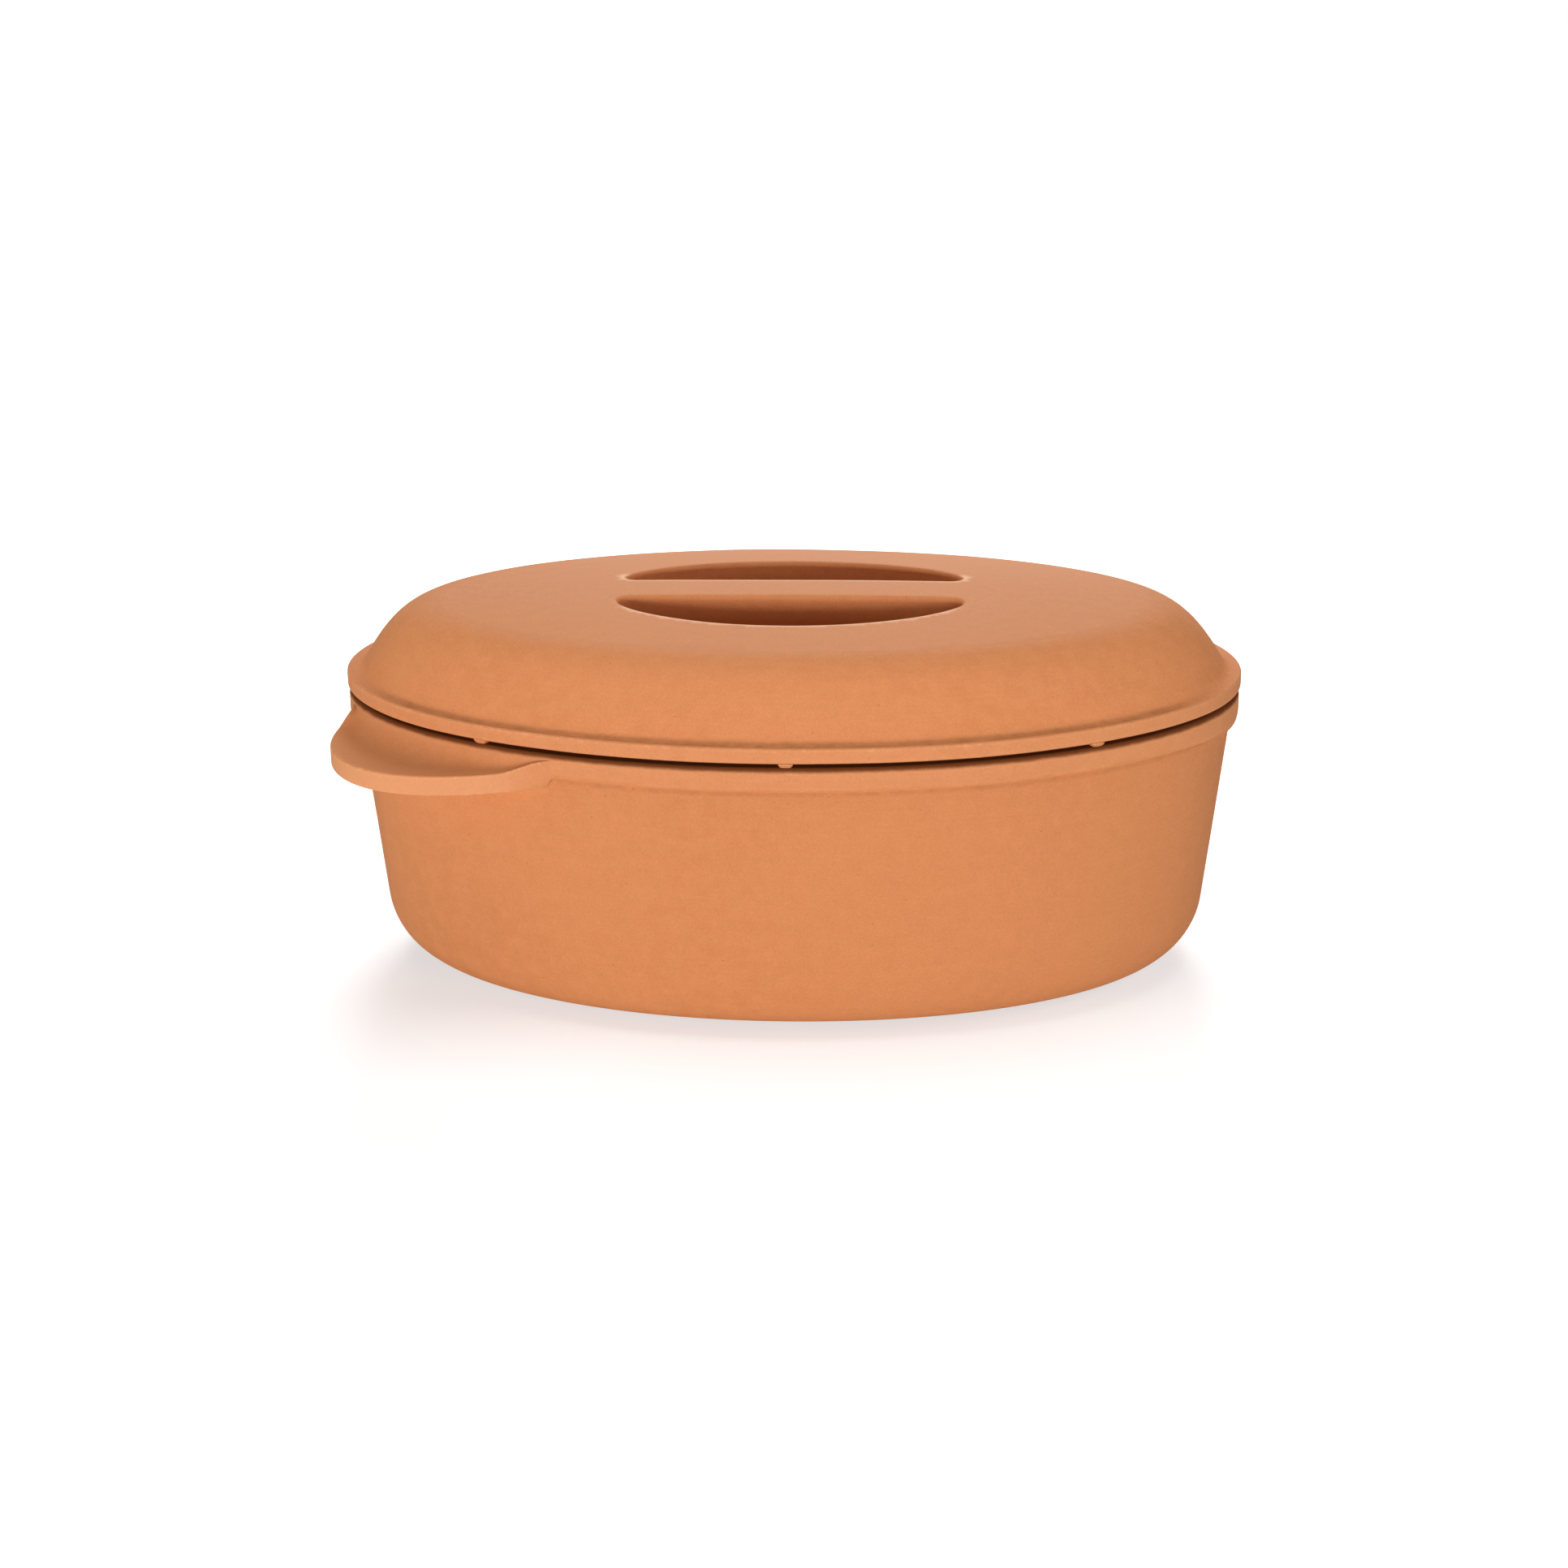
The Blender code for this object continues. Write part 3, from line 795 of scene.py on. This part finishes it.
def add_nub(bm, angle):
    """A nub pressed into the lip's underside: a rounded pad, longer along the lip than across it."""
    plan = oval(LIP_HALF_LENGTH - NUB_INSET, LIP_HALF_WIDTH - NUB_INSET, angle)
    out = oval_normal(LIP_HALF_LENGTH, LIP_HALF_WIDTH, angle)
    along = Vector((-out.y, out.x))
    sections = []
    for step in range(24):
        turn = math.tau * step / 24
        squared = max(abs(math.cos(turn)), abs(math.sin(turn))) ** -0.5
        section = []
        for long, wide, height in nub_rings():
            point = plan + squared * (long * math.cos(turn) * along + wide * math.sin(turn) * out)
            section.append(Vector((point.x, point.y, height)))
        sections.append(section)
    columns = loft(bm, sections)
    bm.faces.new([column[0] for column in columns])
    bm.faces.new([column[-1] for column in columns])


def nub_angles():
    """Angles of the nubs: one at each end of the lid and three along each side."""
    lengths = rim_arc_lengths()
    quarter = lengths[-1] / 4
    places = [0, 2 * quarter]
    for middle in (quarter, 3 * quarter):
        places += [middle + NUB_SPACING * step for step in (-1, 0, 1)]
    return [angle_at(lengths, place + NUB_SHIFT) for place in places]


def make_nubs(material):
    bm = new_mesh()
    for angle in nub_angles():
        add_nub(bm, angle)
    bmesh.ops.translate(bm, verts=bm.verts, vec=(0, 0, LID_BASE))
    new_piece("lid_nubs", bm, material, "lid", [])


def make_lid(material):
    angles = [math.tau * step / LID_STATIONS for step in range(LID_STATIONS)]
    section = list(reversed(outer_section())) + inner_section()
    bm = new_mesh()
    columns = loft(bm, lid_rings(section, angles))
    for row, grown, root in ((0, 0.0, GRIP_ROUND), (-1, LID_WALL, GRIP_ROOT_ROUND)):
        border = [column[row] for column in columns]
        wells = [add_well(bm, side, grown, root) for side in (1, -1)]
        fill_crown(bm, border, wells, grown)
    bmesh.ops.translate(bm, verts=bm.verts, vec=(0, 0, LID_BASE))
    new_piece("lid_clay", bm, material, "lid", ["lid"])


# Material

class Tree:
    """Adds nodes to a material's tree, a column at a time."""

    def __init__(self, material):
        material.use_nodes = True
        self.tree = material.node_tree
        self.shader = self.tree.nodes["Principled BSDF"]
        self.place = 0

    def add(self, kind, inputs=(), **settings):
        node = self.tree.nodes.new(kind)
        self.place -= 1
        node.location = (-240 * (1 - self.place // 6), -260 * (self.place % 6))
        for name, value in settings.items():
            setattr(node, name, value)
        for socket, value in dict(inputs).items():
            if isinstance(value, bpy.types.NodeSocket):
                self.tree.links.new(value, node.inputs[socket])
            else:
                node.inputs[socket].default_value = value
        return node

    def math(self, operation, first, second=0.0, third=0.0):
        node = self.add("ShaderNodeMath", {0: first, 1: second, 2: third}, operation=operation)
        return node.outputs[0]

    def noise(self, vector, scale, detail, roughness=0.5):
        inputs = {"Vector": vector, "Scale": scale, "Detail": detail, "Roughness": roughness}
        return self.add("ShaderNodeTexNoise", inputs).outputs["Fac"]

    def ramp(self, value, low, high):
        """0 below low, 1 above high, smooth between."""
        inputs = {"Value": value, "From Min": low, "From Max": high}
        node = self.add("ShaderNodeMapRange", inputs, interpolation_type="SMOOTHSTEP")
        return node.outputs["Result"]

    def blend(self, factor, first, second, blend_type="MIX"):
        node = self.add("ShaderNodeMix", data_type="RGBA", blend_type=blend_type)
        for number, value in ((0, factor), (6, first), (7, second)):
            if isinstance(value, bpy.types.NodeSocket):
                self.tree.links.new(value, node.inputs[number])
            else:
                node.inputs[number].default_value = value
        return node.outputs[2]

    def dots(self, vector, scale, radius, share):
        """Round dots in a share of the cells of a grid without order."""
        cells = self.add("ShaderNodeTexVoronoi", {"Vector": vector, "Scale": scale})
        dot = self.ramp(cells.outputs["Distance"], radius, radius * 0.35)
        red = self.add("ShaderNodeSeparateColor", {0: cells.outputs["Color"]}).outputs[0]
        return self.math("MULTIPLY", dot, self.math("LESS_THAN", red, share))


def turned_vector(tree, place):
    """Stretched along the rings of the piece, so that a noise read from it makes turning marks."""
    parts = tree.add("ShaderNodeSeparateXYZ", {0: place})
    profile = stored(tree, "profile")
    across = tree.math("MULTIPLY", parts.outputs["X"], 38.0)
    along = tree.math("MULTIPLY", parts.outputs["Y"], 38.0)
    down = tree.math("MULTIPLY", profile, 900.0)
    return tree.add("ShaderNodeCombineXYZ", {0: across, 1: along, 2: down}).outputs[0]


def clay_colour(tree, layers):
    """Fired clay: drifts of shade, mottling, turning marks, grain, grog and pinholes, then edge wear,
    painted light, a painted highlight and painted shade.
    """
    colour = tree.blend(tree.ramp(layers["clouds"], 0.35, 0.65), CLAY_DEEP, CLAY_MIDDLE)
    colour = tree.blend(tree.ramp(layers["mottle"], 0.30, 0.72), colour, CLAY_PALE)
    colour = tree.blend(0.02, colour, tree.ramp(layers["marks"], 0.3, 0.7), "MULTIPLY")
    colour = tree.blend(0.10, colour, tree.ramp(layers["grain"], 0.3, 0.7), "MULTIPLY")
    colour = tree.blend(tree.math("MULTIPLY", layers["specks"], 0.35), colour, CLAY_GROG)
    colour = tree.blend(tree.math("MULTIPLY", layers["grog"], 0.30), colour, CLAY_GROG)
    colour = tree.blend(tree.math("MULTIPLY", layers["pits"], 0.60), colour, CLAY_PIT)
    # Painted light: paler clay on the crown and steep faces
    colour = tree.blend(tree.math("MULTIPLY", layers["painted_light"], 0.30), colour, CLAY_WORN_AND_LIT)
    # Edge wear in patches, plus an even painted highlight along every sharp edge
    chips_and_highlight = tree.math("MULTIPLY_ADD", tree.ramp(layers["chips"], 0.54, 0.68), 0.25, 0.04)
    colour = tree.blend(tree.math("MULTIPLY", layers["wear_and_highlight"], chips_and_highlight), colour, CLAY_WORN_AND_LIT)
    # Painted highlight on the wells' front edges
    colour = tree.blend(tree.math("MULTIPLY", layers["painted_highlight"], 0.8), colour, CLAY_PAINTED_HIGHLIGHT)
    # Painted shade where the vertices carry it, plus some random darkening with the mottle
    mottle_and_painted_shade = tree.ramp(tree.math("MULTIPLY_ADD", layers["mottle"], 0.5, layers["painted_shade"]), 0.35, 1.15)
    colour = tree.blend(tree.math("MULTIPLY", mottle_and_painted_shade, 0.92), colour, CLAY_PAINTED_SHADE)
    # Painted shade down the finger wells
    return tree.blend(tree.math("MULTIPLY", layers["hollow"], 0.92), colour, CLAY_PAINTED_WELL_SHADE)


def clay_height(tree, layers):
    """Relief of the clay's surface, in metres."""
    height = tree.math("MULTIPLY", layers["marks"], 0.000007)
    height = tree.math("MULTIPLY_ADD", layers["mottle"], 0.00004, height)
    height = tree.math("MULTIPLY_ADD", layers["grain"], 0.000014, height)
    height = tree.math("MULTIPLY_ADD", layers["specks"], 0.00002, height)
    return tree.math("MULTIPLY_ADD", layers["pits"], -0.00018, height)


def stored(tree, name):
    """A number that the vertices of the piece carry."""
    return tree.add("ShaderNodeAttribute", attribute_name=name).outputs["Fac"]


def clay_material():
    material = bpy.data.materials.new("terracotta")
    tree = Tree(material)
    place = tree.add("ShaderNodeTexCoord").outputs["Object"]
    layers = {
        "clouds": tree.noise(place, 11.0, 2.0),
        "mottle": tree.noise(place, 170.0, 3.0, 0.6),
        "marks": tree.noise(turned_vector(tree, place), 1.0, 2.0, 0.5),
        "grain": tree.noise(place, 1500.0, 2.0, 0.6),
        "chips": tree.noise(place, 420.0, 3.0, 0.6),
        "pits": tree.dots(place, 180.0, 0.055, 0.6),
        "grog": tree.dots(place, 220.0, 0.06, 0.5),
        "specks": tree.dots(place, 420.0, 0.10, 0.4),
        "wear_and_highlight": stored(tree, "wear_and_highlight"),
        "painted_light": stored(tree, "painted_light"),
        "painted_highlight": stored(tree, "painted_highlight"),
        "hollow": stored(tree, "hollow"),
        "painted_shade": stored(tree, "painted_shade"),
    }
    tree.tree.links.new(clay_colour(tree, layers), tree.shader.inputs["Base Color"])
    relief = {"Height": clay_height(tree, layers), "Strength": 1.0, "Distance": 1.0}
    bump = tree.add("ShaderNodeBump", relief)
    tree.tree.links.new(bump.outputs[0], tree.shader.inputs["Normal"])
    rough = tree.math("MULTIPLY_ADD", layers["mottle"], 0.12, 0.76)
    tree.tree.links.new(rough, tree.shader.inputs["Roughness"])
    tree.shader.inputs["Specular IOR Level"].default_value = 0.1
    tree.shader.inputs["Diffuse Roughness"].default_value = 0.4
    return material


# Stage

def add_node(tree, kind, place, **settings):
    node = tree.nodes.new(kind)
    node.location = place
    for name, value in settings.items():
        setattr(node, name, value)
    return node


def facing(target, distance, azimuth, elevation):
    """The place and turn of something that looks at a target from a distance. Azimuth 0 is the front."""
    back = Vector((math.sin(azimuth) * math.cos(elevation),
                   -math.cos(azimuth) * math.cos(elevation),
                   math.sin(elevation)))
    turn = back.to_track_quat("Z", "Y").to_matrix().to_4x4()
    return Matrix.Translation(target + distance * back) @ turn


def add_camera():
    data = bpy.data.cameras.new("camera")
    data.lens = CAMERA_LENS
    data.sensor_width = CAMERA_SENSOR
    data.shift_x, data.shift_y = CAMERA_SHIFT
    camera = bpy.data.objects.new("camera", data)
    bpy.context.scene.collection.objects.link(camera)
    place = facing(CAMERA_TARGET, CAMERA_DISTANCE, CAMERA_AZIMUTH, CAMERA_ELEVATION)
    camera.matrix_world = place @ Matrix.Rotation(CAMERA_ROLL, 4, "Z")
    bpy.context.scene.camera = camera


def add_lamp(name, azimuth, elevation, width, height, watts):
    """A soft box that looks at the dish."""
    data = bpy.data.lights.new(name, "AREA")
    data.shape = "RECTANGLE"
    data.size, data.size_y = width, height
    data.energy = watts
    lamp = bpy.data.objects.new(name, data)
    bpy.context.scene.collection.objects.link(lamp)
    azimuth, elevation = math.radians(azimuth), math.radians(elevation)
    lamp.matrix_world = facing(LAMP_TARGET, LAMP_DISTANCE, azimuth, elevation)


def add_floor():
    """A pale floor. What the camera sees of it brightens to white away from the dish and its shadow."""
    bpy.ops.mesh.primitive_plane_add(size=FLOOR_SIZE, location=(0.0, 0.0, -FLOOR_DROP))
    floor = bpy.context.object
    floor.name = "floor"
    material = bpy.data.materials.new("floor")
    material.use_nodes = True
    tree = material.node_tree
    tree.nodes.clear()
    output = add_node(tree, "ShaderNodeOutputMaterial", (800, 0))
    diffuse = add_node(tree, "ShaderNodeBsdfDiffuse", (0, 0))
    diffuse.inputs["Color"].default_value = (FLOOR_GREY, FLOOR_GREY, FLOOR_GREY, 1.0)
    place = add_node(tree, "ShaderNodeTexCoord", (-600, -200))
    distance = add_node(tree, "ShaderNodeVectorMath", (-400, -200), operation="LENGTH")
    white = add_node(tree, "ShaderNodeMapRange", (-200, -200), interpolation_type="SMOOTHSTEP")
    white.inputs["From Min"].default_value = FLOOR_SHADE_REACH[0]
    white.inputs["From Max"].default_value = FLOOR_SHADE_REACH[1]
    white.inputs["To Min"].default_value = FLOOR_GLOW
    rays = add_node(tree, "ShaderNodeLightPath", (-200, 400))
    seen = add_node(tree, "ShaderNodeMath", (0, -200), operation="MULTIPLY")
    glow = add_node(tree, "ShaderNodeEmission", (200, -200))
    total = add_node(tree, "ShaderNodeAddShader", (500, 0))
    tree.links.new(place.outputs["Object"], distance.inputs[0])
    tree.links.new(distance.outputs["Value"], white.inputs["Value"])
    tree.links.new(white.outputs["Result"], seen.inputs[0])
    tree.links.new(rays.outputs["Is Camera Ray"], seen.inputs[1])
    tree.links.new(seen.outputs[0], glow.inputs["Strength"])
    tree.links.new(diffuse.outputs[0], total.inputs[0])
    tree.links.new(glow.outputs[0], total.inputs[1])
    tree.links.new(total.outputs[0], output.inputs["Surface"])
    floor.data.materials.append(material)


def add_world():
    """White to the camera, dimmer in the clay's sheen, and nearly dark as a light."""
    world = bpy.data.worlds.new("world")
    bpy.context.scene.world = world
    world.use_nodes = True
    tree = world.node_tree
    tree.nodes.clear()
    output = add_node(tree, "ShaderNodeOutputWorld", (800, 0))
    white = add_node(tree, "ShaderNodeBackground", (600, 0))
    white.inputs["Color"].default_value = (1.0, 1.0, 1.0, 1.0)
    rays = add_node(tree, "ShaderNodeLightPath", (-200, 0))
    sheen = add_node(tree, "ShaderNodeMath", (0, -200), operation="MULTIPLY")
    sheen.inputs[1].default_value = WORLD_SHEEN
    seen = add_node(tree, "ShaderNodeMath", (200, 0), operation="MAXIMUM")
    least = add_node(tree, "ShaderNodeMath", (400, 0), operation="MAXIMUM")
    least.inputs[1].default_value = WORLD_LIGHT
    tree.links.new(rays.outputs["Is Glossy Ray"], sheen.inputs[0])
    tree.links.new(rays.outputs["Is Camera Ray"], seen.inputs[0])
    tree.links.new(sheen.outputs[0], seen.inputs[1])
    tree.links.new(seen.outputs[0], least.inputs[0])
    tree.links.new(least.outputs[0], white.inputs["Strength"])
    tree.links.new(white.outputs[0], output.inputs["Surface"])


noise.seed_set(WARP_SEED)
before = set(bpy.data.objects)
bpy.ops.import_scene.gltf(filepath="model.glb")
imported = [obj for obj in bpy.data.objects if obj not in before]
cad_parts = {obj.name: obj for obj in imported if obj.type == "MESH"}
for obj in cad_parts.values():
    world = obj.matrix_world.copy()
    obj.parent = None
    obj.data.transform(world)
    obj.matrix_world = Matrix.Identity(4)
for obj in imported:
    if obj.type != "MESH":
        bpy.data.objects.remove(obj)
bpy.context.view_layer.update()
clay = clay_material()
make_dish(clay)
make_lid(clay)
make_nubs(clay)
add_camera()
for name, lamp in LAMPS.items():
    add_lamp(name, *lamp)
add_floor()
add_world()
bpy.context.scene.view_settings.view_transform = "Standard"
